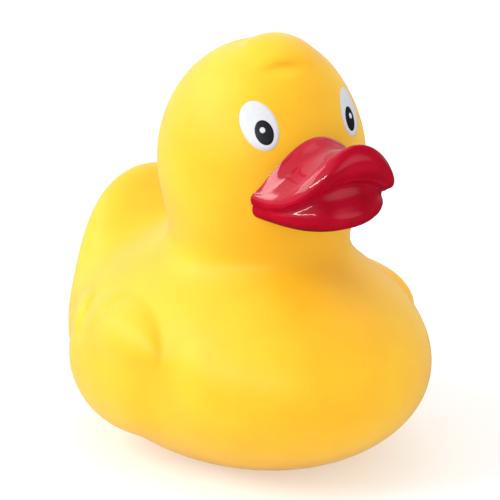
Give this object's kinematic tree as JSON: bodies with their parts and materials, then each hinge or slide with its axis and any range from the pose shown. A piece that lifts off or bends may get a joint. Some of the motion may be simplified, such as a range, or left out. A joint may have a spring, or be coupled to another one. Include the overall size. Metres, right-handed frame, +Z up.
{
  "type": "rubber duck",
  "caption": "Bath duck moulded in one piece from soft vinyl, hollow, with a broad painted bill, printed eyes and a flat base to rest on.",
  "frame": {"origin": "middle of the flat base that the duck stands on", "axes": "+Z up, the bill points along -Y, +X towards the duck's left wing"},
  "size_m": [0.0698, 0.086, 0.0855],
  "materials": {
    "yellow_vinyl": "satin soft vinyl",
    "bill_paint": "glossy crimson paint",
    "eye_white": "smooth white print",
    "eye_black": "smooth black print"
  },
  "bodies": {
    "root": {"duck": "yellow_vinyl"}
  },
  "joints": []
}
